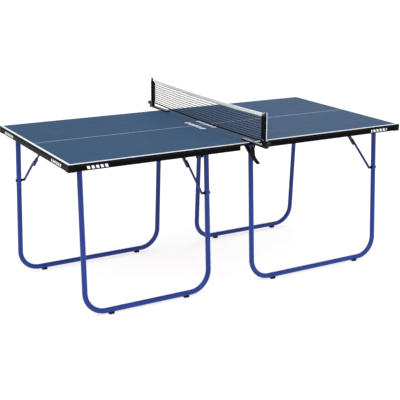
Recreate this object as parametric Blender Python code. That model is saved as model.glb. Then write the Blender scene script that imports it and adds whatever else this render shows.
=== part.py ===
"""Compact table tennis table: two half tables latched together, each on two folding tube frames, with a clip-on net.

Units are metres, +Z is up, +X runs along the table and +Y across it. The origin is on the floor under the middle
of the net. The right half is the left half turned by half a turn about Z, so shapes are built once for the left.
"""

import math

import bmesh
import bpy
from mathutils import Matrix, Vector

# Playing surface
TABLE_LENGTH = 1.830
TABLE_WIDTH = 0.915
TABLE_HEIGHT = 0.760
BOARD_THICKNESS = 0.012
BOARD_EDGE_ROUND = 0.0008
GAP = 0.0003

# Apron rails under the board's rim
APRON_DEPTH = 0.033
RAIL_WIDTH = 0.020
RAIL_WALL = 0.0015
NET_GAP_HALF = 0.060
CAP_WALL = 0.0012
CAP_REACH = 0.034
CAP_BELOW_TOP = 0.0004
CAP_LIP = 0.006

# Folding leg frames
TUBE_RADIUS = 0.0125
TUBE_WALL = 0.0013
BEND_RADIUS = 0.100
HINGE_Y = 0.309
HINGE_Z = 0.729
SPLAY = math.radians(3.0)
BAR_HEIGHT = 0.0205
TUBE_OVER_HINGE = 0.009
WIDE_FRAME = (-0.873, -0.091)
NARROW_FRAME = (-0.807, -0.161)

# Hinge brackets
PIN_RADIUS = 0.004
PIN_CLEARANCE = 0.0004
HINGE_PLATE = 0.0024
HINGE_CHEEK = 0.0025
HINGE_HALF_LENGTH = 0.022
HINGE_DROP = 0.013

# Foot pads
FOOT_INSET = 0.126
FOOT_SIZE = (0.026, 0.023, 0.012)

# Folding braces: a bar on the leg, a link on the board and a sleeve that slides over their knee
BRACE_DOWN = 0.2273
BRACE_BOARD_Y = 0.047
ROD_HALF_WIDTH = 0.0062
ROD_THICKNESS = 0.0055
ROD_OFFSET = 0.027
ROD_HEAD = 0.0135
EYE_THICKNESS = 0.004
SLEEVE_HALF_LENGTH = 0.033
SLEEVE_HALF_WIDTH = 0.0085
SLEEVE_THICKNESS = 0.0085
LINK_THICKNESS = 0.0040
LINK_HALF_WIDTH = 0.0055
LINK_TAIL = 0.027
LINK_PIN = 0.003
BRACKET_WALL = 0.0025

# Clip-on net
NET_HALF = 0.541
NET_TOP = 0.9165
NET_BOTTOM = 0.7835
NET_SAG = 0.0075
NET_THICKNESS = 0.0016
NET_STEPS = 14
TAPE_HEIGHT = 0.016
TAPE_THICKNESS = 0.0056
TAPE_SLOT = 0.0036
CORD_RADIUS = 0.0015
POST_Y = 0.572
POST_RADIUS = 0.0055
POST_TOP = 0.924
HEM_TOP = 0.905
HEM_BOTTOM = 0.792
HEM_THICKNESS = 0.0032
JAW_PIVOT = (0.468, 0.744)
JAW_HALF_WIDTH = 0.0075
KNOB_Z = 0.778
KNOB_START = 0.588

# Latches that hold the two halves together
LATCH_Y = 0.250
LATCH_REACH = 0.035
LATCH_THICKNESS = 0.003
LATCH_Z = 0.7422

BOARD_UNDER = TABLE_HEIGHT - BOARD_THICKNESS
RAIL_TOP = BOARD_UNDER - GAP
RAIL_BOTTOM = TABLE_HEIGHT - APRON_DEPTH
PLATE_TOP = BOARD_UNDER - GAP
HALF_TURN = Matrix.Rotation(math.pi, 4, "Z")
NO_TURN = Matrix.Identity(4)


# ---------------------------------------------------------------- mesh tools


def clear_scene():
    for obj in list(bpy.data.objects):
        bpy.data.objects.remove(obj, do_unlink=True)


def mesh_from(bm):
    """A mesh with outward normals; round faces are smooth up to a 35 degree edge."""
    bmesh.ops.recalc_face_normals(bm, faces=bm.faces)
    mesh = bpy.data.meshes.new("shape")
    bm.to_mesh(mesh)
    bm.free()
    mesh.shade_smooth()
    mesh.set_sharp_from_angle(angle=math.radians(35))
    return mesh


def box(low, high, edge_round=0.0):
    bm = bmesh.new()
    size = Vector(high) - Vector(low)
    middle = (Vector(high) + Vector(low)) / 2
    bmesh.ops.create_cube(bm, size=1.0, matrix=Matrix.Translation(middle) @ Matrix.Diagonal((*size, 1.0)))
    if edge_round:
        bmesh.ops.bevel(bm, geom=bm.edges[:], offset=edge_round, segments=1, affect="EDGES")
    return mesh_from(bm)


def prism(outline, place, low, high):
    """An outline of (a, b) points, extruded from low to high; place(a, b, h) gives the 3D point."""
    bm = bmesh.new()
    bottom = [bm.verts.new(place(a, b, low)) for a, b in outline]
    top = [bm.verts.new(place(a, b, high)) for a, b in outline]
    bm.faces.new(bottom)
    bm.faces.new(top)
    for i in range(len(outline)):
        j = (i + 1) % len(outline)
        bm.faces.new((bottom[i], bottom[j], top[j], top[i]))
    return mesh_from(bm)


def across(a, b, h):
    """Outline in the Y-Z plane, extruded along X."""
    return (h, a, b)


def lengthwise(a, b, h):
    """Outline in the X-Z plane, extruded along Y."""
    return (a, h, b)


def upward(a, b, h):
    """Outline in the X-Y plane, extruded along Z."""
    return (a, b, h)


def arc(centre, radius, start, end, steps):
    """Points on an arc between two angles in degrees, both ends included."""
    angles = [math.radians(start + (end - start) * i / steps) for i in range(steps + 1)]
    return [(centre[0] + radius * math.cos(t), centre[1] + radius * math.sin(t)) for t in angles]


def circle(centre, radius, sides):
    return arc(centre, radius, 0, 360, sides)[:-1]


def rod_x(y, z, radius, low, high, sides=16):
    return prism(circle((y, z), radius, sides), across, low, high)


def sweep(path, radius, sides, inner=0.0):
    """A round bar along a path, or a tube open at both ends when inner is given."""
    points = [Vector(p) for p in path]
    last = len(points) - 1
    tangents = [(points[min(i + 1, last)] - points[max(i - 1, 0)]).normalized() for i in range(last + 1)]
    side = tangents[0].orthogonal().normalized()
    bm = bmesh.new()
    radii = [radius, inner] if inner else [radius]
    rings = [[] for _ in radii]
    for point, tangent in zip(points, tangents):
        side = (side - tangent * side.dot(tangent)).normalized()
        other = tangent.cross(side)
        turns = [2 * math.pi * k / sides for k in range(sides)]
        for ring, r in zip(rings, radii):
            ring.append([bm.verts.new(point + r * (math.cos(t) * side + math.sin(t) * other)) for t in turns])
    for ring in rings:
        for first, second in zip(ring, ring[1:]):
            for k in range(sides):
                n = (k + 1) % sides
                bm.faces.new((first[k], first[n], second[n], second[k]))
    for end in (0, -1):
        if inner:
            for k in range(sides):
                n = (k + 1) % sides
                bm.faces.new((rings[0][end][k], rings[0][end][n], rings[1][end][n], rings[1][end][k]))
        else:
            bm.faces.new(rings[0][end])
    return mesh_from(bm)


def evaluated(base, cutters, operation):
    """The base mesh with each other mesh joined to it or cut from it."""
    obj = bpy.data.objects.new("base", base)
    helpers = [bpy.data.objects.new("helper", mesh) for mesh in cutters]
    for item in (obj, *helpers):
        bpy.context.scene.collection.objects.link(item)
    for helper in helpers:
        modifier = obj.modifiers.new("cut", "BOOLEAN")
        modifier.operation = operation
        modifier.solver = "EXACT"
        modifier.object = helper
    graph = bpy.context.evaluated_depsgraph_get()
    mesh = bpy.data.meshes.new_from_object(obj.evaluated_get(graph))
    for item in (obj, *helpers):
        bpy.data.objects.remove(item, do_unlink=True)
    mesh.shade_smooth()
    mesh.set_sharp_from_angle(angle=math.radians(35))
    return mesh


def cut(base, *cutters):
    return evaluated(base, cutters, "DIFFERENCE")


def join(base, *others):
    return evaluated(base, others, "UNION")


# ---------------------------------------------------------------- materials and placing


def paint(name, colour, roughness, metallic=0.0):
    material = bpy.data.materials.new(name)
    material.use_nodes = True
    shader = material.node_tree.nodes["Principled BSDF"]
    shader.inputs["Base Color"].default_value = (*colour, 1.0)
    shader.inputs["Roughness"].default_value = roughness
    shader.inputs["Metallic"].default_value = metallic
    material.diffuse_color = (*colour, 1.0)
    return material


def make_materials():
    return {
        "board": paint("blue_board", (0.058, 0.120, 0.235), 0.45),
        "apron": paint("black_apron", (0.012, 0.012, 0.012), 0.4, 0.2),
        "cap": paint("black_plastic", (0.010, 0.010, 0.010), 0.5),
        "frame": paint("blue_frame", (0.025, 0.040, 0.300), 0.3, 0.1),
        "steel": paint("zinc_steel", (0.300, 0.300, 0.310), 0.35, 1.0),
        "brace": paint("dark_brace", (0.020, 0.020, 0.055), 0.4, 0.3),
        "foot": paint("foot_rubber", (0.012, 0.012, 0.012), 0.7),
        "clamp": paint("clamp_black", (0.010, 0.010, 0.012), 0.4, 0.2),
        "net": paint("net_mesh", (0.015, 0.016, 0.025), 0.8),
        "tape": paint("white_tape", (0.800, 0.800, 0.790), 0.7),
        "cord": paint("white_cord", (0.750, 0.750, 0.740), 0.6),
    }


class Builder:
    """Adds named objects; origin is the object's own zero in the left half's coordinates."""

    def __init__(self):
        self.materials = make_materials()

    def add(self, name, mesh, material, origin=(0, 0, 0), turn=NO_TURN, parent=None):
        """The mesh is in the left half's coordinates; turn carries the whole object about Z."""
        shifted = mesh.copy()
        shifted.transform(Matrix.Translation(-Vector(origin)))
        shifted.name = name
        shifted.materials.clear()
        shifted.materials.append(self.materials[material])
        obj = bpy.data.objects.new(name, shifted)
        bpy.context.scene.collection.objects.link(obj)
        obj.matrix_world = turn @ Matrix.Translation(Vector(origin))
        if parent:
            obj.parent = parent
            obj.matrix_parent_inverse = parent.matrix_world.inverted()
        return obj


# ---------------------------------------------------------------- board and apron


def board_mesh():
    return box(
        (-TABLE_LENGTH / 2, -TABLE_WIDTH / 2, BOARD_UNDER),
        (-GAP, TABLE_WIDTH / 2, TABLE_HEIGHT),
        BOARD_EDGE_ROUND,
    )


def channel_outline(outer, inward):
    """A C channel's section: web at outer, open towards inward (+1 or -1)."""
    inner = outer + inward * RAIL_WIDTH
    web = outer + inward * RAIL_WALL
    return [
        (outer, RAIL_BOTTOM),
        (inner, RAIL_BOTTOM),
        (inner, RAIL_BOTTOM + RAIL_WALL),
        (web, RAIL_BOTTOM + RAIL_WALL),
        (web, RAIL_TOP - RAIL_WALL),
        (inner, RAIL_TOP - RAIL_WALL),
        (inner, RAIL_TOP),
        (outer, RAIL_TOP),
    ]


def side_rail_mesh(side):
    outline = channel_outline(side * TABLE_WIDTH / 2, -side)
    return prism(outline, across, -TABLE_LENGTH / 2, -NET_GAP_HALF)


def end_rail_mesh():
    outline = channel_outline(-TABLE_LENGTH / 2, 1)
    reach = TABLE_WIDTH / 2 - RAIL_WIDTH - GAP
    return prism(outline, lengthwise, -reach, reach)


def corner_cap_mesh(side):
    """A plastic cap that wraps the outside corner just below the playing surface, with a narrow lip under the rails."""
    x, y = -TABLE_LENGTH / 2, TABLE_WIDTH / 2
    skin = GAP + CAP_WALL
    low = (x - skin, y - CAP_REACH, RAIL_BOTTOM - skin)
    high = (x + CAP_REACH, y + skin, TABLE_HEIGHT - CAP_BELOW_TOP)
    hollow = box((x - GAP, y - 1, RAIL_BOTTOM - GAP), (x + 1, y + GAP, TABLE_HEIGHT + GAP))
    window = box((x + CAP_LIP, y - 1, RAIL_BOTTOM - 1), (x + 1, y - CAP_LIP, TABLE_HEIGHT + 1))
    mesh = cut(box(low, high, 0.0005), hollow, window)
    if side < 0:
        mesh.transform(Matrix.Diagonal((1, -1, 1, 1)))
        mesh.flip_normals()
    return mesh


def add_tops(build):
    for half, turn in (("left", NO_TURN), ("right", HALF_TURN)):
        build.add(f"board_{half}", board_mesh(), "board", turn=turn)
        build.add(f"end_rail_{half}", end_rail_mesh(), "apron", turn=turn)
        for side in (1, -1):
            where = side_name(side, turn)
            build.add(f"side_rail_{where}_{half}", side_rail_mesh(side), "apron", turn=turn)
            build.add(f"corner_cap_{where}_{half}", corner_cap_mesh(side), "cap", turn=turn)


def side_name(side, turn):
    """The world side of a piece built on the left half at Y * side."""
    return "far" if side * turn[1][1] > 0 else "near"


# ---------------------------------------------------------------- leg frames


def leg_direction(side):
    return Vector((0, side * math.sin(SPLAY), -math.cos(SPLAY)))


def leg_length():
    return (HINGE_Z - BAR_HEIGHT) / math.cos(SPLAY)


def on_leg(x, side, distance):
    """The point of a leg's centre line at a distance below its hinge."""
    return Vector((x, side * HINGE_Y, HINGE_Z)) + leg_direction(side) * distance


def frame_path(legs, side):
    """Down one leg, along the floor bar and up the other, with round bends."""
    left, right = legs
    length = leg_length()
    plane = [(left, -TUBE_OVER_HINGE)]
    plane += arc((left + BEND_RADIUS, length - BEND_RADIUS), BEND_RADIUS, 180, 90, 8)
    plane += arc((right - BEND_RADIUS, length - BEND_RADIUS), BEND_RADIUS, 90, 0, 8)
    plane += [(right, -TUBE_OVER_HINGE)]
    return [on_leg(x, side, down) for x, down in plane]


def leg_frame_mesh(legs, side, braced):
    tube = sweep(frame_path(legs, side), TUBE_RADIUS, 16, TUBE_RADIUS - TUBE_WALL)
    reach = TUBE_RADIUS * 1.5
    hole = PIN_RADIUS + PIN_CLEARANCE
    drills = [rod_x(side * HINGE_Y, HINGE_Z, hole, x - reach, x + reach) for x in legs]
    pivot = on_leg(braced, side, BRACE_DOWN)
    drills.append(rod_x(pivot.y, pivot.z, PIN_RADIUS + PIN_CLEARANCE, braced - reach, braced + reach, 12))
    return cut(tube, *drills)


def hinge_bracket_mesh(x, side):
    """A folded U bracket under the board, with the pivot bolt that carries the leg."""
    y = side * HINGE_Y
    inner = TUBE_RADIUS + 0.0005
    outer = inner + HINGE_CHEEK
    plate = box(
        (x - outer, y - HINGE_HALF_LENGTH, PLATE_TOP - HINGE_PLATE),
        (x + outer, y + HINGE_HALF_LENGTH, PLATE_TOP),
    )
    ear = arc((y, HINGE_Z), HINGE_DROP, 200, 340, 8)
    ear += [(y + HINGE_HALF_LENGTH, PLATE_TOP - 0.0005), (y - HINGE_HALF_LENGTH, PLATE_TOP - 0.0005)]
    cheeks = [prism(ear, across, x + low, x + low + HINGE_CHEEK) for low in (-outer, inner)]
    bolt = rod_x(y, HINGE_Z, PIN_RADIUS, x - outer - 0.001, x + outer + 0.001)
    heads = [rod_x(y, HINGE_Z, 0.0065, x + low, x + low + 0.0032, 6) for low in (-outer - 0.0031, outer - 0.0001)]
    return join(plate, *cheeks, bolt, *heads)


def foot_mesh(x, side):
    """A rubber pad that cradles the floor bar."""
    middle = on_leg(x, side, leg_length())
    length, width, height = FOOT_SIZE
    pad = box(
        (x - length / 2, middle.y - width / 2, 0),
        (x + length / 2, middle.y + width / 2, height),
        0.0018,
    )
    return cut(pad, rod_x(middle.y, middle.z, TUBE_RADIUS + GAP, x - length, x + length, 32))


# ---------------------------------------------------------------- braces


def brace_points(side):
    """Leg pivot, knee and board pivot, as (y, z) for the open table.

    The two lengths add up to the open span and differ by the span that is left when the leg is folded flat.
    """
    low = on_leg(0, side, BRACE_DOWN)
    leg = Vector((low.y, low.z))
    board = Vector((side * BRACE_BOARD_Y, HINGE_Z))
    span = (board - leg).length
    folded = HINGE_Y - BRACE_DOWN - BRACE_BOARD_Y
    rod = (span + folded) / 2
    return leg, leg + (board - leg) * (rod / span), board


def brace_rod_mesh(x, side, inward):
    """The lower bar of the brace, with the pin that passes through the leg and its retaining head."""
    leg, knee, _ = brace_points(side)
    along = (knee - leg).normalized()
    normal = Vector((-along.y, along.x))
    reach = (knee - leg).length
    outline = [(reach + a, b) for a, b in arc((0, 0), ROD_HALF_WIDTH, -90, 90, 8)]
    outline += arc((0, 0), ROD_HALF_WIDTH, 90, 270, 8)
    points = [leg + along * s + normal * w for s, w in outline]
    near, far = ROD_OFFSET + EYE_THICKNESS - ROD_THICKNESS, ROD_OFFSET + EYE_THICKNESS
    bar = prism(points, across, *sorted((x + inward * near, x + inward * far)))
    outer = x - inward * (ROD_HEAD + 0.002)
    pin = rod_x(leg.x, leg.y, PIN_RADIUS, *sorted((outer, x + inward * (far - 0.001))), 16)
    head = rod_x(leg.x, leg.y, 0.0062, *sorted((x - inward * ROD_HEAD, x - inward * (ROD_HEAD + 0.003))), 18)
    return join(bar, pin, head)


def link_frame(side):
    """The knee, the board pivot and the directions along and square to the link, in (y, z)."""
    _, knee, board = brace_points(side)
    along = (board - knee).normalized()
    return knee, board, along, Vector((-along.y, along.x))


def sleeve_start(x, inward):
    """The sleeve's face beside the rod's eye."""
    return x + inward * (ROD_OFFSET + EYE_THICKNESS + 0.0006)


def link_start(x, inward):
    return sleeve_start(x, inward) + inward * (SLEEVE_THICKNESS - LINK_THICKNESS) / 2


def brace_link_mesh(x, side, inward):
    """The flat upper link; its tail runs on past the knee inside the lock sleeve."""
    knee, board, along, normal = link_frame(side)
    near = link_start(x, inward)
    reach = (board - knee).length
    half = LINK_HALF_WIDTH
    outline = [(-LINK_TAIL, half - 0.002), (-LINK_TAIL + 0.002, half), (reach - 0.006, half)]
    outline += [(reach + a, b) for a, b in arc((0, 0), 0.0075, 120, -120, 10)]
    outline += [(reach - 0.006, -half), (-LINK_TAIL + 0.002, -half), (-LINK_TAIL, -half + 0.002)]
    points = [knee + along * s + normal * w for s, w in outline]
    bar = prism(points, across, *sorted((near, near + inward * LINK_THICKNESS)))
    return cut(bar, rod_x(board.x, board.y, LINK_PIN + PIN_CLEARANCE, near - 0.02, near + 0.02, 16))


def lock_sleeve_mesh(x, side, inward):
    """A slotted box section that slides along the link and drops over the knee."""
    knee, _, along, normal = link_frame(side)
    near = sleeve_start(x, inward)
    far = near + inward * SLEEVE_THICKNESS
    long, wide = SLEEVE_HALF_LENGTH, SLEEVE_HALF_WIDTH
    shell = [(-long, 0.003 - wide), (0.003 - long, -wide), (long - 0.003, -wide), (long, 0.003 - wide)]
    shell += [(-s, -w) for s, w in shell]
    points = [knee + along * s + normal * w for s, w in shell]
    body = prism(points, across, *sorted((near, far)))
    room = LINK_HALF_WIDTH + 0.0004
    bore = [(-long - 1, -room), (long + 1, -room), (long + 1, room), (-long - 1, room)]
    points = [knee + along * s + normal * w for s, w in bore]
    start = link_start(x, inward)
    low, high = start - inward * 0.0004, start + inward * (LINK_THICKNESS + 0.0004)
    return cut(body, prism(points, across, *sorted((low, high))))


def brace_bracket_mesh(x, side, inward):
    """An angle bracket under the board, with the pin that the link swings on."""
    _, board, _, _ = link_frame(side)
    near = link_start(x, inward)
    wall = near + inward * (LINK_THICKNESS + 0.0006)
    plate = box(
        (min(near - inward * 0.016, wall), board.x - 0.020, PLATE_TOP - BRACKET_WALL),
        (max(near - inward * 0.016, wall), board.x + 0.020, PLATE_TOP),
    )
    ear = arc((board.x, board.y), 0.009, 200, 340, 8)
    ear += [(board.x + 0.015, PLATE_TOP - 0.0002), (board.x - 0.015, PLATE_TOP - 0.0002)]
    lug = prism(ear, across, *sorted((wall - inward * 0.0001, wall + inward * BRACKET_WALL)))
    pin = rod_x(board.x, board.y, LINK_PIN, *sorted((near - inward * 0.001, wall + inward * 0.003)))
    head = rod_x(board.x, board.y, 0.0052, *sorted((near - inward * 0.0006, near - inward * 0.0026)))
    return join(plate, lug, pin, head)


def add_frames(build):
    for half, turn in (("left", NO_TURN), ("right", HALF_TURN)):
        for legs, side in ((WIDE_FRAME, 1), (NARROW_FRAME, -1)):
            where = f"{side_name(side, turn)}_{half}"
            braced = legs[0] if side > 0 else legs[1]
            inward = 1 if side > 0 else -1
            middle = sum(legs) / 2
            hinge = (middle, side * HINGE_Y, HINGE_Z)
            frame = build.add(
                f"leg_frame_{where}", leg_frame_mesh(legs, side, braced), "frame", hinge, turn
            )
            for x, end in ((legs[0], "outer"), (legs[1], "inner")):
                step = 1 if end == "outer" else -1
                build.add(f"hinge_bracket_{where}_{end}", hinge_bracket_mesh(x, side), "steel", turn=turn)
                foot_x = x + step * FOOT_INSET
                foot = foot_mesh(foot_x, side)
                build.add(f"foot_{where}_{end}", foot, "foot", (foot_x, side * HINGE_Y, 0), turn, frame)
            leg, _, board = brace_points(side)
            rod = brace_rod_mesh(braced, side, inward)
            build.add(f"brace_rod_{where}", rod, "brace", (braced, leg.x, leg.y), turn, frame)
            link = brace_link_mesh(braced, side, inward)
            build.add(f"brace_link_{where}", link, "brace", (braced, board.x, board.y), turn)
            sleeve = lock_sleeve_mesh(braced, side, inward)
            knee = link_frame(side)[0]
            build.add(f"lock_sleeve_{where}", sleeve, "brace", (braced, knee.x, knee.y), turn)
            bracket = brace_bracket_mesh(braced, side, inward)
            build.add(f"brace_bracket_{where}", bracket, "steel", turn=turn)


# ---------------------------------------------------------------- net


def net_edge(y, end_height):
    """Height of the net's upper or lower edge, which hangs a little at the middle."""
    return end_height - NET_SAG * (1 - (y / NET_HALF) ** 2)


def hanging_strip(half_width, low_of, high_of, end=NET_HALF):
    """A thin upright strip along Y with curved edges."""
    ys = [end * (2 * i / NET_STEPS - 1) for i in range(NET_STEPS + 1)]
    outline = [(y, low_of(y)) for y in ys] + [(y, high_of(y)) for y in reversed(ys)]
    return prism(outline, across, -half_width, half_width)


def net_mesh():
    """The net panel with a hem at each end, which ends in a sleeve around its post."""
    top_inside = TAPE_SLOT / 2 + 2 * CORD_RADIUS
    panel = hanging_strip(
        NET_THICKNESS / 2,
        lambda y: net_edge(y, NET_BOTTOM),
        lambda y: net_edge(y, NET_TOP) - top_inside,
        NET_HALF + 0.002,
    )
    parts = []
    bores = []
    for side in (1, -1):
        inner, outer = sorted((side * (NET_HALF + 0.0005), side * POST_Y))
        parts.append(box((-HEM_THICKNESS / 2, inner, HEM_BOTTOM), (HEM_THICKNESS / 2, outer, HEM_TOP)))
        parts.append(prism(circle((0, side * POST_Y), POST_RADIUS + 0.0018, 20), upward, HEM_BOTTOM, HEM_TOP))
        bore = circle((0, side * POST_Y), POST_RADIUS + GAP, 20)
        bores.append(prism(bore, upward, HEM_BOTTOM - 0.01, HEM_TOP + 0.01))
    return cut(join(panel, *parts), *bores)


def net_tape_mesh():
    """White tape folded over the cord and the net's upper edge."""
    tape = hanging_strip(
        TAPE_THICKNESS / 2,
        lambda y: net_edge(y, NET_TOP) - TAPE_HEIGHT,
        lambda y: net_edge(y, NET_TOP),
    )
    wall = (TAPE_THICKNESS - TAPE_SLOT) / 2
    slot = hanging_strip(
        TAPE_SLOT / 2,
        lambda y: net_edge(y, NET_TOP) - TAPE_HEIGHT * 1.5,
        lambda y: net_edge(y, NET_TOP) - wall,
        NET_HALF + 0.01,
    )
    return cut(tape, slot)


def cord_route():
    """From one post's foot, over its notched top, through the tape and down the other post."""
    outside = POST_Y + POST_RADIUS + 0.0042
    inside_tape = NET_TOP - (TAPE_THICKNESS - TAPE_SLOT) / 2 - CORD_RADIUS - 0.0002
    down = [(outside, 0.785), (outside, 0.830), (outside, 0.880), (outside, 0.905)]
    over = [(outside - 0.0002, 0.915), (outside - 0.0018, 0.9205), (outside - 0.0050, 0.9215), (POST_Y, 0.9214)]
    end = [*down, *over, (POST_Y - 0.008, 0.9204), (NET_HALF + 0.008, inside_tape + 0.0008)]
    span = [(NET_HALF * (1 - 2 * i / 24), 0) for i in range(25)]
    hung = [(y, inside_tape - NET_SAG * (1 - (y / NET_HALF) ** 2)) for y, _ in span]
    return end + hung + [(-y, z) for y, z in reversed(end)]


def net_cord_mesh():
    return sweep([(0, y, z) for y, z in cord_route()], CORD_RADIUS, 8)


def net_clamp_mesh():
    """The far clamp: pad on the table, arm, post with a notched top, and two ears with the jaw's pin."""
    arm_top = TABLE_HEIGHT + 0.007
    pad = box((-0.012, 0.384, TABLE_HEIGHT + GAP), (0.012, 0.474, arm_top), 0.0012)
    arm = box((-0.0095, 0.460, TABLE_HEIGHT - 0.004), (0.0095, 0.589, arm_top - 0.0002), 0.001)
    ears = [box((low, 0.4605, 0.737), (low + 0.0025, 0.4755, 0.762)) for low in (-0.0105, 0.008)]
    pin = rod_x(*JAW_PIVOT, 0.0025, -0.0115, 0.0115, 16)
    block = box((-0.009, 0.558, TABLE_HEIGHT - 0.003), (0.009, 0.588, 0.790), 0.001)
    post = prism(circle((0, POST_Y), POST_RADIUS, 20), upward, 0.765, POST_TOP)
    notch = box((-0.0022, 0.5, 0.9188), (0.0022, 0.7, 0.94))
    shape = join(pad, arm, *ears, pin, block, cut(post, notch))
    cord_hole = prism(circle((0, POST_Y + POST_RADIUS + 0.0042), CORD_RADIUS + GAP, 12), upward, 0.783, 0.8)
    screw_hole = prism(circle((0, KNOB_Z), 0.0033, 16), lengthwise, 0.585, 0.6)
    return cut(shape, cord_hole, screw_hole)


def clamp_jaw_mesh():
    """The sprung lever under the board: a claw, a web with a window, and a curved handle."""
    py, pz = JAW_PIVOT
    under = BOARD_UNDER - GAP
    outline = [(0.396, under), (0.396, under - 0.006), (0.410, under - 0.018)]
    outline += [(0.434, 0.711), (0.456, 0.697), (0.474, 0.685)]
    outline += [(0.490, 0.678), (0.514, 0.668)]
    outline += arc((0.5165, 0.6715), 0.0042, -125, 60, 5)
    outline += [(0.500, 0.684), (0.486, 0.693), (0.4795, 0.704), (0.4765, 0.720)]
    outline += arc((py, pz), 0.0065, -20, 170, 8)
    outline += [(py - 0.0055, 0.728), (0.4645, 0.708), (0.458, 0.708), (0.436, 0.722)]
    outline += [(0.4185, 0.738), (0.412, under)]
    lever = prism(outline, across, -JAW_HALF_WIDTH, JAW_HALF_WIDTH)
    bore = rod_x(py, pz, 0.0029, -0.02, 0.02, 12)
    spring_room = rod_x(py, pz, 0.0078, -0.0042, 0.0042, 20)
    return cut(lever, bore, spring_room)


def tension_knob_mesh():
    """A lobed knob on a screw that pinches the cord."""
    lobes = 6
    rim = []
    for i in range(lobes * 4):
        t = 2 * math.pi * i / (lobes * 4)
        r = 0.0088 + 0.0011 * math.cos(lobes * t)
        rim.append((r * math.cos(t), KNOB_Z + r * math.sin(t)))
    head = prism(rim, lengthwise, KNOB_START + 0.008, KNOB_START + 0.023)
    collar = prism(circle((0, KNOB_Z), 0.0058, 16), lengthwise, KNOB_START + 0.0004, KNOB_START + 0.009)
    screw = prism(circle((0, KNOB_Z), 0.003, 12), lengthwise, KNOB_START - 0.002, KNOB_START + 0.002)
    return join(head, collar, screw)


def add_net(build):
    build.add("net", net_mesh(), "net")
    build.add("net_tape", net_tape_mesh(), "tape")
    build.add("net_cord", net_cord_mesh(), "cord")
    for side, turn in (("far", NO_TURN), ("near", HALF_TURN)):
        pivot = (0, *JAW_PIVOT)
        build.add(f"net_clamp_{side}", net_clamp_mesh(), "clamp", turn=turn)
        build.add(f"clamp_jaw_{side}", clamp_jaw_mesh(), "clamp", pivot, turn)
        build.add(f"tension_knob_{side}", tension_knob_mesh(), "clamp", (0, KNOB_START, KNOB_Z), turn)


# ---------------------------------------------------------------- latches between the halves


def latch_hook_mesh(y):
    """A flat hook that turns on its rivet under the left board and grips the keeper under the right one."""
    half, top = 0.010, LATCH_Z + LATCH_THICKNESS
    outline = arc((-LATCH_REACH, y), half, 90, 270, 8)
    outline += arc((LATCH_REACH + 0.004, y), half, -90, 90, 8)
    plate = prism(outline, upward, LATCH_Z, top)
    rivet = prism(circle((-LATCH_REACH, y), 0.004, 12), upward, LATCH_Z - 0.0015, PLATE_TOP)
    head = prism(circle((-LATCH_REACH, y), 0.007, 16), upward, LATCH_Z - 0.0022, LATCH_Z + 0.0003)
    slot = [(LATCH_REACH + a, y + b) for a, b in arc((0, 0), 0.0036, -180, 0, 8)]
    slot += [(LATCH_REACH + 0.0036, y + 0.02), (LATCH_REACH - 0.0036, y + 0.02)]
    return cut(join(plate, rivet, head), prism(slot, upward, LATCH_Z - 0.01, top + 0.01))


def add_latches(build):
    for side, y in (("far", LATCH_Y), ("near", -LATCH_Y)):
        build.add(f"latch_hook_{side}", latch_hook_mesh(y), "steel", (-LATCH_REACH, y, LATCH_Z))


def main():
    clear_scene()
    build = Builder()
    add_tops(build)
    add_frames(build)
    add_net(build)
    add_latches(build)


main()
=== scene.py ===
"""Looks for the compact table tennis table: materials, net mesh, fittings, floor, light and camera.

Everything is in metres in the shared frame. The origin is on the floor under the middle of the net, and +X
runs along the table. The right half is the left half turned by half a turn about Z.
"""
import math
import random

import bmesh
import bpy
from mathutils import Matrix, Vector


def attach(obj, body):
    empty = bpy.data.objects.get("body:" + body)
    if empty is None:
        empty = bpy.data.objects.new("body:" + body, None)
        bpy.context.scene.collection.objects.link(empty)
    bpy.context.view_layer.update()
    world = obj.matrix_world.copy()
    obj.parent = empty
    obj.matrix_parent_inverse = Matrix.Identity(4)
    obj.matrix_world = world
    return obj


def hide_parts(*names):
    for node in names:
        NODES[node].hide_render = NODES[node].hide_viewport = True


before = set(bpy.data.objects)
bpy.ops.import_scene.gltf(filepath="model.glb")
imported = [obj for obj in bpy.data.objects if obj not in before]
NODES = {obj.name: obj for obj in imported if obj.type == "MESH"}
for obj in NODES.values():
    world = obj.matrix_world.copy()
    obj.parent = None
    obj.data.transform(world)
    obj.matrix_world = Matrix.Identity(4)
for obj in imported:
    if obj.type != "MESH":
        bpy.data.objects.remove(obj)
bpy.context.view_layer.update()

# Boards and what is painted on them
LENGTH, WIDTH, TOP = 1.830, 0.915, 0.760
UNDER = 0.748
EDGE_LINE = 0.0120
CENTRE_LINE_HALF = 0.0016
NEAR_FACE, NEAR_SIDE = 0.0005, 0.0006  # how far inside a face its colour still holds
DASH_SHARE = 0.62
TOP_MARKS_X, TOP_MARKS_REACH, TOP_DASH = ((-0.060, -0.034), (0.008, 0.030)), 0.095, 0.038
SIDE_MARK_X, END_MARK_Y, APRON_MARK_Z, APRON_DASH = (0.730, 0.834), (0.258, 0.378), (0.7325, 0.7460), 0.021

# Leg frames and braces
HINGE_Y, HINGE_Z = 0.309, 0.729
SPLAY = math.radians(3.0)
BAR_Z = 0.0205
TUBE_R = 0.0125
TUBE_WALL = 0.0013
BEND_R = 0.1
OVER_HINGE = 0.009
BRACE_DOWN = 0.2273
KNEE_OUT, KNEE_Y, KNEE_Z = 0.0256, 0.170589, 0.626577
BRACKET_OUT, BRACKET_Y = 0.0215, 0.047
HINGE_SCREW_Y, HINGE_SCREW_Z, HINGE_SCREW_R = 0.0180, UNDER - 0.0026, 0.0028
BRACKET_SCREW_Y, BRACKET_SCREW_Z, BRACKET_SCREW_R = 0.013, UNDER - 0.0027, 0.0030
RIVET_R = 0.0046
WIDE, NARROW = (-0.873, -0.091), (-0.807, -0.161)
FRAMES = (
    ("far_left", WIDE, 1, 1),
    ("near_left", NARROW, -1, 1),
    ("near_right", WIDE, 1, -1),
    ("far_right", NARROW, -1, -1),
)
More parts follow.
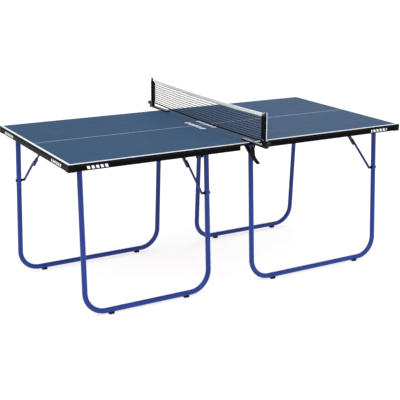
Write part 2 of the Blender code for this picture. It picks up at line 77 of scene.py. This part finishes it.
TURN = {1: Matrix.Identity(4), -1: Matrix.Rotation(math.pi, 4, "Z")}

# Net, tape and clamps
NET_HALF = 0.541
SAG = 0.0075
MESH_LOW, MESH_TOP = 0.7850, 0.9115
ROWS, COLUMNS = 11, 90
ROW_R, COLUMN_R = 0.0016, 0.00055
BOTTOM_CORD_R, BOTTOM_CORD_HALF = 0.0034, 0.560
HEM_LOW, HEM_TOP = 0.792, 0.905
HEM_HALF_THICKNESS, HEM_PUFF = 0.0016, 0.09
POST_Y = 0.572
SLEEVE_R = 0.0055 + 0.0006 + 0.0012  # post, gap and cloth
TAPE_TOP = 0.9165
BRAID_TURNS = 2600  # radians of the braid's wave in one metre
STITCHES, STITCH_PITCH, STITCH_START, STITCH_DROP = 216, 0.005, -0.538, 0.0125
STITCH_LOW, STITCH_HIGH, THREAD_R = 0.00275, 0.0031, 0.00022
JAW_Y, JAW_Z = 0.468, 0.744
ARM_SCREWS_Y, ARM_SCREW_Z, ARM_SCREW_R = (0.400, 0.440), TOP + 0.0069, 0.0034
EAR_X, EAR_SCREW_R = 0.0114, 0.0042
SPRING_R, SPRING_WIRE_R, SPRING_HALF, SPRING_TURNS = 0.0046, 0.0007, 0.0030, 3
STUD_X, STUD_Y = 0.035, 0.25

# Turned shapes as (radius, height) points; the screw is for a radius of one
SCREW = [(1, 0), (1, 0.25), (0.86, 0.52), (0.5, 0.68), (0.34, 0.70), (0.24, 0.42), (0, 0.36)]
WASHER = [
    (0.0046, 0.0), (0.0084, 0.0), (0.0090, 0.0006), (0.0086, 0.0016), (0.0062, 0.0020), (0.0046, 0.0020),
    (0.0046, 0.0),
]
SPACER = [
    (0.0042, 0.0), (0.0062, 0.0), (0.0066, 0.0010), (0.0060, 0.0020), (0.0060, 0.0088), (0.0068, 0.0098),
    (0.0042, 0.0098), (0.0042, 0.0),
]
STUD = [
    (0, -0.0085), (0.0058, -0.0085), (0.0062, -0.0078), (0.0062, -0.0064), (0.0058, -0.0060),
    (0.0031, -0.0060), (0.0031, -0.0020), (0.0078, -0.0018), (0.0080, 0.0),
]

# Camera
LENS_MM = 81.9018
CAMERA_SHIFT = (-0.0625, -0.125)
CAMERA_PLACE = (-2.2832, -3.9527, 1.7160)
YAW, PITCH, ROLL = (math.radians(v) for v in (31.45, -13.409, 0.76))


# ---------------------------------------------------------------- camera, light, floor


def linked(name, data):
    obj = bpy.data.objects.new(name, data)
    bpy.context.scene.collection.objects.link(obj)
    return obj


def make_camera():
    """A pinhole view from the near left, a little above the table."""
    data = bpy.data.cameras.new("camera")
    data.sensor_width = 36.0
    data.lens = LENS_MM
    data.shift_x, data.shift_y = CAMERA_SHIFT
    data.clip_start, data.clip_end = 0.05, 500
    ahead = Vector((math.sin(YAW) * math.cos(PITCH), math.cos(YAW) * math.cos(PITCH), math.sin(PITCH)))
    level = Vector((math.cos(YAW), -math.sin(YAW), 0))
    steep = level.cross(ahead)
    right = level * math.cos(ROLL) + steep * math.sin(ROLL)
    up = steep * math.cos(ROLL) - level * math.sin(ROLL)
    turn = Matrix((right, up, -ahead)).transposed()
    cam = linked("camera", data)
    cam.matrix_world = Matrix.Translation(CAMERA_PLACE) @ turn.to_4x4()
    bpy.context.scene.camera = cam


def area_light(name, place, target, size, power):
    data = bpy.data.lights.new(name, "AREA")
    data.shape = "RECTANGLE"
    data.size, data.size_y = size
    data.energy = power
    light = linked(name, data)
    light.location = place
    light.rotation_mode = "QUATERNION"
    light.rotation_quaternion = (Vector(target) - Vector(place)).to_track_quat("-Z", "Y")


def make_studio():
    """White surroundings, a wide soft sun, two area lights and a floor that glows almost white by itself."""
    world = bpy.data.worlds.new("studio")
    world.use_nodes = True
    back = world.node_tree.nodes["Background"]
    back.inputs["Color"].default_value = (1, 1, 1, 1)
    back.inputs["Strength"].default_value = 1.0
    bpy.context.scene.world = world
    sun = bpy.data.lights.new("soft_sun", "SUN")
    sun.energy, sun.angle = 0.95, math.radians(60)
    linked("soft_sun", sun).rotation_euler = (math.radians(28), math.radians(-18), 0)
    area_light("key", (-2.2, -2.4, 3.2), (0, 0, 0.6), (2.0, 2.0), 40)
    area_light("rim", (2.6, 2.4, 2.6), (0, 0, 0.6), (2.0, 1.4), 26)
    bm = bmesh.new()
    bmesh.ops.create_grid(bm, x_segments=1, y_segments=1, size=120)
    mesh = bpy.data.meshes.new("floor")
    bm.to_mesh(mesh)
    bm.free()
    floor = linked("floor", mesh)
    paint = Paint("floor_white")
    paint.set("Base Color", (0.36, 0.36, 0.37, 1))
    paint.set("Roughness", 0.7)
    paint.set("Specular IOR Level", 0.0)
    paint.set("Emission Color", (1, 1, 1, 1))
    paint.set("Emission Strength", 0.68)
    mesh.materials.append(paint.material)
    bpy.context.scene.view_settings.view_transform = "Standard"


# ---------------------------------------------------------------- materials


class Paint:
    """A Principled material that is built up from small pieces of procedural pattern."""

    def __init__(self, name):
        self.material = bpy.data.materials.new(name)
        self.material.use_nodes = True
        self.tree = self.material.node_tree
        self.shader = self.tree.nodes["Principled BSDF"]
        self.place = self.node("ShaderNodeTexCoord").outputs["Object"]
        self.axes = self.node("ShaderNodeSeparateXYZ")
        self.feed(self.axes.inputs[0], self.place)

    def node(self, kind, **settings):
        made = self.tree.nodes.new(kind)
        for key, value in settings.items():
            setattr(made, key, value)
        return made

    def feed(self, socket, value):
        if isinstance(value, bpy.types.NodeSocket):
            self.tree.links.new(value, socket)
        else:
            socket.default_value = value

    def set(self, name, value):
        self.feed(self.shader.inputs[name], value)

    def axis(self, letter):
        return self.axes.outputs[letter]

    def math(self, operation, *values):
        made = self.node("ShaderNodeMath", operation=operation)
        for socket, value in zip(made.inputs, values):
            self.feed(socket, value)
        return made.outputs[0]

    def add(self, first, second):
        return self.math("ADD", first, second)

    def times(self, first, second):
        return self.math("MULTIPLY", first, second)

    def size_of(self, letter):
        return self.math("ABSOLUTE", self.axis(letter))

    def above(self, value, edge):
        return self.math("GREATER_THAN", value, edge)

    def below(self, value, edge):
        return self.math("LESS_THAN", value, edge)

    def both(self, *masks):
        out = masks[0]
        for mask in masks[1:]:
            out = self.times(out, mask)
        return out

    def either(self, first, second):
        return self.math("MAXIMUM", first, second)

    def between(self, value, low, high):
        return self.both(self.above(value, low), self.below(value, high))

    def mix(self, factor, first, second):
        made = self.node("ShaderNodeMix", data_type="RGBA")
        self.feed(made.inputs[0], factor)
        self.feed(made.inputs[6], first)
        self.feed(made.inputs[7], second)
        return made.outputs[2]

    def stretch(self, value, low=0, high=1):
        """Maps 0.3..0.7, where most of a noise lies, onto low..high."""
        made = self.node("ShaderNodeMapRange")
        self.feed(made.inputs["Value"], value)
        made.inputs["From Min"].default_value = 0.3
        made.inputs["From Max"].default_value = 0.7
        made.inputs["To Min"].default_value = low
        made.inputs["To Max"].default_value = high
        return made.outputs[0]

    def scaled(self, size):
        made = self.node("ShaderNodeMapping")
        self.feed(made.inputs["Vector"], self.place)
        made.inputs["Scale"].default_value = size
        return made.outputs[0]

    def noise(self, scale, detail, rough=0.5, vector=None):
        made = self.node("ShaderNodeTexNoise")
        made.inputs["Scale"].default_value = scale
        made.inputs["Detail"].default_value = detail
        made.inputs["Roughness"].default_value = rough
        self.feed(made.inputs["Vector"], vector or self.place)
        return made.outputs[0]

    def bump(self, height, strength, distance=0.0002):
        made = self.node("ShaderNodeBump")
        made.inputs["Strength"].default_value = strength
        made.inputs["Distance"].default_value = distance
        self.feed(made.inputs["Height"], height)
        self.set("Normal", made.outputs[0])


def rgb(r, g, b):
    """A display colour as linear light, with alpha."""
    def line(c):
        c /= 255
        return c / 12.92 if c <= 0.04045 else ((c + 0.055) / 1.055) ** 2.4
    return (line(r), line(g), line(b), 1.0)


def stripes(p, along, across, pitch, lean):
    """Plain slanting dashes, one to each pitch."""
    slid = p.add(along, p.times(across, lean))
    return p.below(p.math("FRACT", p.math("DIVIDE", slid, pitch)), DASH_SHARE)


def board_paint():
    """Blue playing surface with white lines, black edges and a brown fibreboard underside."""
    p = Paint("table_blue")
    x, y, z = p.axis("X"), p.axis("Y"), p.axis("Z")
    ax, ay = p.size_of("X"), p.size_of("Y")

    wobble = p.times(p.math("SUBTRACT", p.noise(900, 2), 0.5), 0.0004)
    lines = p.either(
        p.above(p.add(ax, wobble), LENGTH / 2 - EDGE_LINE),
        p.above(p.add(ay, wobble), WIDTH / 2 - EDGE_LINE),
    )
    centre = p.below(p.add(ay, wobble), CENTRE_LINE_HALF)
    place = p.either(*(p.between(x, *ends) for ends in TOP_MARKS_X))
    mark = p.both(place, p.below(ay, TOP_MARKS_REACH), stripes(p, y, x, TOP_DASH, 0.5))

    cloud = p.stretch(p.noise(3.0, 3))
    speck = p.stretch(p.noise(1400, 2))
    blue = p.mix(cloud, rgb(40, 68, 97), rgb(42, 70, 99))
    blue = p.mix(p.times(speck, 0.2), blue, rgb(50, 78, 108))
    white = p.mix(speck, rgb(202, 206, 212), rgb(220, 224, 229))
    top = p.mix(lines, blue, white)
    top = p.mix(p.times(centre, 0.72), top, white)
    top = p.mix(mark, top, white)

    fibre = p.noise(60, 6, 0.7, p.scaled((1, 2.4, 1)))
    brown = p.mix(p.stretch(fibre), rgb(126, 92, 62), rgb(158, 122, 88))
    brown = p.mix(p.times(p.stretch(p.noise(420, 3)), 0.45), brown, rgb(96, 66, 42))
    edge = p.mix(speck, rgb(14, 14, 15), rgb(26, 26, 28))
    is_top = p.above(z, TOP - NEAR_FACE)
    inside = p.both(p.below(ax, LENGTH / 2 - NEAR_SIDE), p.below(ay, WIDTH / 2 - NEAR_SIDE))
    is_under = p.both(inside, p.below(z, UNDER + NEAR_FACE))
    p.set("Base Color", p.mix(is_under, p.mix(is_top, edge, top), brown))

    p.set("Specular IOR Level", 0.018)
    rough = p.stretch(p.noise(22, 4), 0.50, 0.56)
    p.set("Roughness", p.add(rough, p.times(is_under, 0.35)))
    p.bump(p.add(p.noise(1600, 2), p.times(p.noise(320, 2), 0.6)), 0.25)
    return p.material


def apron_paint():
    """Satin black powder coat with plain dashes where a badge would be."""
    p = Paint("apron_black")
    ax, ay, z = p.size_of("X"), p.size_of("Y"), p.axis("Z")
    side = p.both(p.above(ay, WIDTH / 2 - NEAR_SIDE), p.between(ax, *SIDE_MARK_X))
    end = p.both(p.above(ax, LENGTH / 2 - NEAR_SIDE), p.between(ay, *END_MARK_Y))
    run = p.add(p.axis("X"), p.axis("Y"))
    dashes = stripes(p, run, z, APRON_DASH, 0.35)
    mark = p.both(p.either(side, end), p.between(z, *APRON_MARK_Z), dashes)
    fine = p.noise(1800, 3)
    black = p.mix(p.stretch(fine), rgb(5, 5, 6), rgb(13, 13, 13))
    p.set("Base Color", p.mix(mark, black, rgb(222, 222, 224)))
    p.set("Specular IOR Level", 0.025)
    p.set("Roughness", p.stretch(p.noise(35, 4), 0.30, 0.44))
    p.bump(p.add(fine, p.noise(600, 2)), 0.22)
    return p.material


def coat(name, dark, light, rough, peel=420, clear=0.0, bump=0.16, wear=0.0, shine=0.2):
    """Paint, rubber or plastic with a fine grain, a little uneven gloss and, if wear is set, scuffs."""
    p = Paint(name)
    colour = p.mix(p.stretch(p.noise(9, 4)), rgb(*dark), rgb(*light))
    if wear:
        scuff = p.times(p.above(p.noise(130, 6, 0.75), 0.66), wear)
        colour = p.mix(scuff, colour, rgb(*(min(255, c * 1.5 + 30) for c in light)))
    p.set("Base Color", colour)
    p.set("Specular IOR Level", shine)
    p.set("Roughness", p.stretch(p.noise(28, 5), rough - 0.07, rough + 0.08))
    if clear:
        p.set("Coat Weight", clear)
        p.set("Coat Roughness", 0.12)
    p.bump(p.add(p.noise(peel, 2), p.times(p.noise(peel * 4, 2), 0.4)), bump)
    return p.material


def brushed(name, dark, light, rough):
    """Bare plated steel with brush marks along X and a faint spangle."""
    p = Paint(name)
    p.set("Metallic", 1.0)
    lines = p.noise(90, 4, 0.6, p.scaled((1, 14, 14)))
    spangle = p.node("ShaderNodeTexVoronoi")
    spangle.inputs["Scale"].default_value = 260
    p.feed(spangle.inputs["Vector"], p.place)
    tone = p.mix(p.stretch(lines), rgb(*dark), rgb(*light))
    p.set("Base Color", p.mix(0.15, tone, spangle.outputs["Color"]))
    p.set("Roughness", p.stretch(p.noise(60, 4), rough - 0.08, rough + 0.12))
    p.bump(lines, 0.12)
    return p.material


def woven(name, dark, light, pitch, sheen=0.3, shine=0.1):
    """Plain weave in the plane of the net, with painted shade between the threads."""
    p = Paint(name)
    p.set("Roughness", 0.85)
    turns = 2 * math.pi / pitch
    across = p.math("SINE", p.times(p.axis("Y"), turns))
    upright = p.math("SINE", p.times(p.axis("Z"), turns))
    weave = p.times(across, upright)
    # Lighter where the threads cross over and darker between them: painted shade between the threads, mixed
    # with a random tone from noise.
    tone = p.add(p.times(weave, 0.5), 0.5)
    tone = p.add(p.times(tone, 0.6), p.times(p.stretch(p.noise(40, 4)), 0.4))
    p.set("Base Color", p.mix(tone, rgb(*dark), rgb(*light)))
    p.set("Specular IOR Level", shine)
    p.set("Sheen Weight", sheen)
    p.set("Sheen Roughness", 0.5)
    p.bump(p.add(weave, p.noise(2200, 2)), 0.35, 0.0003)
    return p.material


def braided(name, dark, light):
    """A round braid that runs along Y and Z, with painted shade in its grooves."""
    p = Paint(name)
    p.set("Roughness", 0.7)
    run = p.add(p.axis("Y"), p.axis("Z"))
    one = p.math("SINE", p.times(p.add(run, p.axis("X")), BRAID_TURNS))
    two = p.math("SINE", p.times(p.math("SUBTRACT", run, p.axis("X")), BRAID_TURNS))
    braid = p.either(one, two)
    # Lighter on the braid's ridges and darker in its grooves: painted shade in the grooves.
    p.set("Base Color", p.mix(p.times(p.add(braid, 1), 0.5), rgb(*dark), rgb(*light)))
    p.bump(braid, 0.5, 0.0003)
    return p.material


def make_materials():
    clamp_tones = (5, 5, 6), (12, 12, 13)
    return {
        "board": board_paint(),
        "apron": apron_paint(),
        "plastic": coat("black_plastic", (5, 5, 6), (13, 13, 14), 0.50, peel=900, bump=0.3, shine=0.06),
        "frame": coat("frame_blue", (20, 46, 120), (26, 52, 129), 0.32, peel=380, clear=0.05, bump=0.10,
                      shine=0.22),
        "steel": brushed("zinc", (120, 120, 124), (176, 176, 180), 0.34),
        "brace": coat("brace_navy", (24, 27, 60), (34, 38, 76), 0.40, peel=500, bump=0.12, wear=0.1),
        "brace_bar": coat("brace_bar_blue", (22, 38, 104), (28, 44, 114), 0.36, bump=0.12),
        "rubber": coat("foot_rubber", (9, 9, 10), (20, 20, 21), 0.74, peel=700, bump=0.5),
        "clamp": coat("clamp_black", *clamp_tones, 0.28, peel=600, bump=0.12, shine=0.15),
        "jaw": coat("jaw_black", *clamp_tones, 0.34, peel=600, bump=0.12, shine=0.05),
        "knob": coat("knob_black", (7, 7, 8), (16, 16, 17), 0.48, peel=1000, bump=0.35),
        "strand": coat("net_strand", (20, 18, 20), (36, 33, 35), 0.80, peel=2400, bump=0.5),
        "hem": woven("net_hem", (5, 5, 8), (13, 12, 18), 0.0014, sheen=0.02, shine=0.03),
        "tape": woven("net_tape_white", (184, 187, 188), (214, 217, 217), 0.0012),
        "cord": braided("cord_white", (190, 190, 190), (236, 236, 234)),
    }


def repaint(mats):
    """Gives each CAD node the material of the first entry that its name starts with."""
    kinds = (
        ("board_", "board"), ("side_rail", "apron"), ("end_rail", "apron"), ("corner_cap", "plastic"),
        ("leg_frame", "frame"), ("foot_", "rubber"), ("hinge_bracket", "steel"), ("latch_hook", "steel"),
        ("brace_bracket", "steel"), ("brace_rod", "brace_bar"), ("brace_link", "brace"),
        ("lock_sleeve", "brace"), ("net_clamp", "clamp"), ("clamp_jaw", "jaw"), ("tension_knob", "knob"),
        ("net_tape", "tape"), ("net_cord", "cord"), ("net", "strand"),
    )
    for name, obj in NODES.items():
        kind = next(kind for start, kind in kinds if name.startswith(start))
        for s in obj.material_slots:
            s.material = mats[kind]


# ---------------------------------------------------------------- mesh tools


def finished(name, bm, material, body, smooth=35):
    """Turns a bmesh into a piece that rides on a body."""
    bmesh.ops.recalc_face_normals(bm, faces=bm.faces)
    mesh = bpy.data.meshes.new(name)
    bm.to_mesh(mesh)
    bm.free()
    mesh.shade_smooth()
    mesh.set_sharp_from_angle(angle=math.radians(smooth))
    mesh.materials.append(material)
    obj = linked(name, mesh)
    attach(obj, body)
    return obj


def add_band(bm, first, second):
    """Quads between two rings with the same number of vertices."""
    count = len(first)
    for k in range(count):
        n = (k + 1) % count
        bm.faces.new((first[k], first[n], second[n], second[k]))


def add_loft(bm, rings, closed=True):
    """Bands from each ring to the next, with a face on both ends unless they stay open."""
    for first, second in zip(rings, rings[1:]):
        add_band(bm, first, second)
    if closed:
        bm.faces.new(rings[0])
        bm.faces.new(rings[-1])


def add_sweep(bm, path, radius, sides, inner=0.0):
    """A round bar along a path; inner makes it a tube that is open at both ends."""
    points = [Vector(q) for q in path]
    last = len(points) - 1
    tangents = [(points[min(i + 1, last)] - points[max(i - 1, 0)]).normalized() for i in range(len(points))]
    side = tangents[0].orthogonal().normalized()
    radii = [radius, inner] if inner else [radius]
    walls = [[] for _ in radii]
    for point, tangent in zip(points, tangents):
        side = (side - tangent * side.dot(tangent)).normalized()
        other = tangent.cross(side)
        for rings, r in zip(walls, radii):
            turns = (2 * math.pi * k / sides for k in range(sides))
            spokes = (math.cos(t) * side + math.sin(t) * other for t in turns)
            rings.append([bm.verts.new(point + r * spoke) for spoke in spokes])
    for rings in walls:
        add_loft(bm, rings, closed=not inner)
    if inner:
        for end in (0, -1):
            add_band(bm, walls[0][end], walls[1][end])


def add_lathe(bm, profile, place, sides):
    """Turns (radius, height) points round a placing matrix's Z axis. Ends on the axis close the shape."""
    rings = []
    for r, h in profile:
        if r < 1e-7:
            rings.append([bm.verts.new(place @ Vector((0, 0, h)))])
        else:
            turns = (2 * math.pi * k / sides for k in range(sides))
            rings.append([bm.verts.new(place @ Vector((r * math.cos(t), r * math.sin(t), h))) for t in turns])
    for first, second in zip(rings, rings[1:]):
        for k in range(sides):
            n = (k + 1) % sides
            corners = [ring[i % len(ring)] for ring, i in ((first, k), (first, n), (second, n), (second, k))]
            unique = list(dict.fromkeys(corners))
            if len(unique) > 2:
                bm.faces.new(unique)


def arc(centre, radius, start, end, steps):
    """Points on a flat arc between two angles in degrees."""
    angles = [math.radians(start + (end - start) * i / steps) for i in range(steps + 1)]
    return [(centre[0] + radius * math.cos(t), centre[1] + radius * math.sin(t)) for t in angles]


def spread(low, high, steps):
    """Evenly spaced values, both ends included."""
    return [low + (high - low) * i / steps for i in range(steps + 1)]


def facing(point, axis):
    """A placing matrix with its Z along the axis."""
    turn = Vector(axis).normalized().to_track_quat("Z", "Y").to_matrix().to_4x4()
    return Matrix.Translation(Vector(point)) @ turn


def add_screw(bm, point, axis, radius):
    """A pan-head screw with a dished hub in place of its cross recess."""
    add_lathe(bm, [(radius * r, radius * h) for r, h in SCREW], facing(point, axis), 16)


# ---------------------------------------------------------------- leg frames and their fittings


def on_leg(x, side, distance):
    """A point on a leg's centre line, a distance down from the hinge."""
    return Vector((x, side * (HINGE_Y + distance * math.sin(SPLAY)), HINGE_Z - distance * math.cos(SPLAY)))


def frame_path(legs, side):
    """The bent tube's centre line: down one leg, along the floor bar and up the other leg."""
    left, right = legs
    length = (HINGE_Z - BAR_Z) / math.cos(SPLAY)
    plane = [(left, -OVER_HINGE), (left, 0.2), (left, 0.4)]
    plane += arc((left + BEND_R, length - BEND_R), BEND_R, 180, 90, 18)
    plane += [((left + right) / 2, length)]
    plane += arc((right - BEND_R, length - BEND_R), BEND_R, 90, 0, 18)
    plane += [(right, 0.4), (right, 0.2), (right, -OVER_HINGE)]
    return [on_leg(x, side, down) for x, down in plane]


def make_frame(mats, where, legs, side, half):
    """One tube frame, with the washers, spacer, rivet and screws of its brace and hinges."""
    turn = TURN[half]
    braced, inward = (legs[0], 1) if side > 0 else (legs[1], -1)
    pivot = on_leg(braced, side, BRACE_DOWN)

    bm = bmesh.new()
    add_sweep(bm, [turn @ q for q in frame_path(legs, side)], TUBE_R, 32, TUBE_R - TUBE_WALL)
    tube = finished(f"tube_frame_{where}", bm, mats["frame"], f"leg_{where}")
    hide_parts(f"leg_frame_{where}")

    bm = bmesh.new()
    for out in (1, -1):
        start = pivot + Vector((out * (TUBE_R - 0.0002), 0, 0))
        add_lathe(bm, WASHER, turn @ facing(start, (out, 0, 0)), 24)
    finished(f"pivot_washers_{where}", bm, mats["plastic"], f"leg_{where}")

    bm = bmesh.new()
    start = pivot + Vector((inward * (TUBE_R + 0.0021), 0, 0))
    add_lathe(bm, SPACER, turn @ facing(start, (inward, 0, 0)), 24)
    finished(f"brace_spacer_{where}", bm, mats["plastic"], f"brace_rod_{where}")

    bm = bmesh.new()
    knee = Vector((braced + inward * KNEE_OUT, side * KNEE_Y, KNEE_Z))
    add_screw(bm, turn @ knee, (-inward * half, 0, 0), RIVET_R)
    finished(f"knee_rivet_{where}", bm, mats["steel"], f"brace_rod_{where}")

    bm = bmesh.new()
    down = (0, 0, -1)
    for x in legs:
        for dy in (-HINGE_SCREW_Y, HINGE_SCREW_Y):
            add_screw(bm, turn @ Vector((x, side * HINGE_Y + dy, HINGE_SCREW_Z)), down, HINGE_SCREW_R)
    bracket_x = braced + inward * BRACKET_OUT
    for dy in (-BRACKET_SCREW_Y, BRACKET_SCREW_Y):
        place = Vector((bracket_x, side * BRACKET_Y + dy, BRACKET_SCREW_Z))
        add_screw(bm, turn @ place, down, BRACKET_SCREW_R)
    finished(f"bracket_screws_{where}", bm, mats["steel"], "table")


# ---------------------------------------------------------------- net


def hung(y, z_end):
    """The height at y of a line that hangs by the sag between ends at z_end."""
    return z_end - SAG * (1 - (y / NET_HALF) ** 2)


def on_mesh(y, share):
    """The height of a point that is a share of the way up the net's mesh."""
    return hung(y, MESH_LOW) + (hung(y, MESH_TOP) - hung(y, MESH_LOW)) * share


def add_strands(bm):
    """Rows along the net and finer columns up it, each a little uneven."""
    rng = random.Random(7)
    offsets = [rng.uniform(-0.0005, 0.0005) for _ in range(ROWS)]
    for r in range(1, ROWS):
        path = []
        for y in spread(-NET_HALF, NET_HALF, 90):
            z = on_mesh(y, r / ROWS)
            path.append((rng.uniform(-0.0001, 0.0001), y, z + offsets[r] + rng.uniform(-0.00025, 0.00025)))
        add_sweep(bm, path, ROW_R, 6)
    for base in spread(-NET_HALF, NET_HALF, COLUMNS)[1:-1]:
        path = []
        for share in spread(0, 1, 11):
            y = base + rng.uniform(-0.0004, 0.0004)
            path.append((rng.uniform(-0.0001, 0.0001), y, on_mesh(y, share)))
        add_sweep(bm, path, COLUMN_R, 5)


def hem_outline():
    """The hem's section in (x, y): a flat strip that opens into a sleeve round the post."""
    start = math.degrees(math.asin(HEM_HALF_THICKNESS / SLEEVE_R))
    round_part = arc((0, 0), SLEEVE_R, -90 + start, 270 - start, 24)
    sleeve = [(x, POST_Y + y) for x, y in round_part]
    return [(-HEM_HALF_THICKNESS, NET_HALF - 0.002), (HEM_HALF_THICKNESS, NET_HALF - 0.002)] + sleeve


def make_net(mats):
    """Thin strands between two dark hems, and a dark cord along the bottom."""
    bm = bmesh.new()
    add_strands(bm)
    area = sum(f.calc_area() for f in bm.faces) / 2
    strands = finished("net_strands", bm, mats["strand"], "table", 60)
    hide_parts("net")

    outline = hem_outline()
    for side, where in ((1, "far"), (-1, "near")):
        bm = bmesh.new()
        rings = []
        for i, z in enumerate(spread(HEM_LOW, HEM_TOP, 16)):
            puff = 1 + HEM_PUFF * math.sin(i * 1.9)
            rings.append([bm.verts.new((x * puff, side * y, z)) for x, y in outline])
        add_loft(bm, rings)
        finished(f"net_hem_{where}", bm, mats["hem"], "table")

    bm = bmesh.new()
    path = []
    for y in spread(-BOTTOM_CORD_HALF, BOTTOM_CORD_HALF, 60):
        path.append((0, y, hung(max(-NET_HALF, min(NET_HALF, y)), MESH_LOW)))
    add_sweep(bm, path, BOTTOM_CORD_R, 12)
    bottom = finished("net_bottom_cord", bm, mats["hem"], "table")


def tape_outline():
    """The tape's section in (x, distance from its top): a fold that is round on top and open below."""
    outer = [(-0.0027, -0.0160), (-0.0028, -0.0080), (-0.0026, -0.0028)]
    outer += arc((0, -0.0026), 0.0026, 165, 15, 5)
    outer += [(0.0026, -0.0028), (0.0028, -0.0080), (0.0027, -0.0160)]
    inner = [(0.0018, -0.0160), (0.0019, -0.0080), (0.0017, -0.0030), (0.0011, -0.0015), (0.0, -0.00095)]
    inner += [(-0.0011, -0.0015), (-0.0017, -0.0030), (-0.0019, -0.0080), (-0.0018, -0.0160)]
    return outer + inner


def make_tape(mats):
    """A folded white tape with a slightly uneven lower edge, and a row of stitches on each face."""
    rng = random.Random(11)
    phase = [rng.uniform(0, 6.28) for _ in range(3)]
    outline = tape_outline()
    bm = bmesh.new()
    rings = []
    for y in spread(-NET_HALF, NET_HALF, 120):
        wave = 0.00025 * math.sin(31 * y + phase[0]) + 0.00015 * math.sin(83 * y + phase[1])
        drop = 0.0004 * math.sin(23 * y + phase[2])
        ring = []
        for x, dz in outline:
            lower = dz + (drop if dz < -0.015 else 0)
            ring.append(bm.verts.new((x + wave * min(1, -dz / 0.016), y, hung(y, TAPE_TOP) + lower)))
        rings.append(ring)
    add_loft(bm, rings)
    tape = finished("tape_fold", bm, mats["tape"], "table", 50)
    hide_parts("net_tape")

    bm = bmesh.new()
    for side in (-1, 1):
        low, high = side * STITCH_LOW, side * STITCH_HIGH
        for i in range(STITCHES):
            y = STITCH_START + STITCH_PITCH * i
            z = hung(y, TAPE_TOP) - STITCH_DROP
            add_sweep(bm, [(low, y, z), (high, y + 0.0012, z), (low, y + 0.0026, z)], THREAD_R, 4)
    stitches = finished("tape_stitches", bm, mats["tape"], "table")


def spring_path():
    """Turns of wire round the jaw's pivot, with a straight leg at each end."""
    per_turn = 12
    path = [(-0.0032, JAW_Y - 0.0030, JAW_Z + 0.0100)]
    for i, x in enumerate(spread(-SPRING_HALF, SPRING_HALF, SPRING_TURNS * per_turn)):
        t = 2 * math.pi * i / per_turn + math.radians(140)
        path.append((x, JAW_Y + SPRING_R * math.cos(t), JAW_Z + SPRING_R * math.sin(t)))
    return path + [(SPRING_HALF, JAW_Y + 0.0035, JAW_Z - 0.0110)]


def make_clamp_details(mats):
    """Springs on the jaws, screws on the arms and steel studs for the latches."""
    for where, turn in (("far", TURN[1]), ("near", TURN[-1])):
        bm = bmesh.new()
        add_sweep(bm, [turn @ Vector(q) for q in spring_path()], SPRING_WIRE_R, 8)
        finished(f"jaw_spring_{where}", bm, mats["steel"], f"clamp_jaw_{where}")
        bm = bmesh.new()
        for y in ARM_SCREWS_Y:
            add_screw(bm, turn @ Vector((0, y, ARM_SCREW_Z)), (0, 0, 1), ARM_SCREW_R)
        for out in (1, -1):
            add_screw(bm, turn @ Vector((out * EAR_X, JAW_Y, JAW_Z)), (out, 0, 0), EAR_SCREW_R)
        finished(f"clamp_screws_{where}", bm, mats["steel"], "table")
    bm = bmesh.new()
    for y in (STUD_Y, -STUD_Y):
        add_lathe(bm, STUD, Matrix.Translation((STUD_X, y, UNDER - 0.0002)), 20)
    finished("latch_studs", bm, mats["steel"], "table")


make_camera()
MATS = make_materials()
make_studio()
repaint(MATS)
for frame_row in FRAMES:
    make_frame(MATS, *frame_row)
make_net(MATS)
make_tape(MATS)
make_clamp_details(MATS)
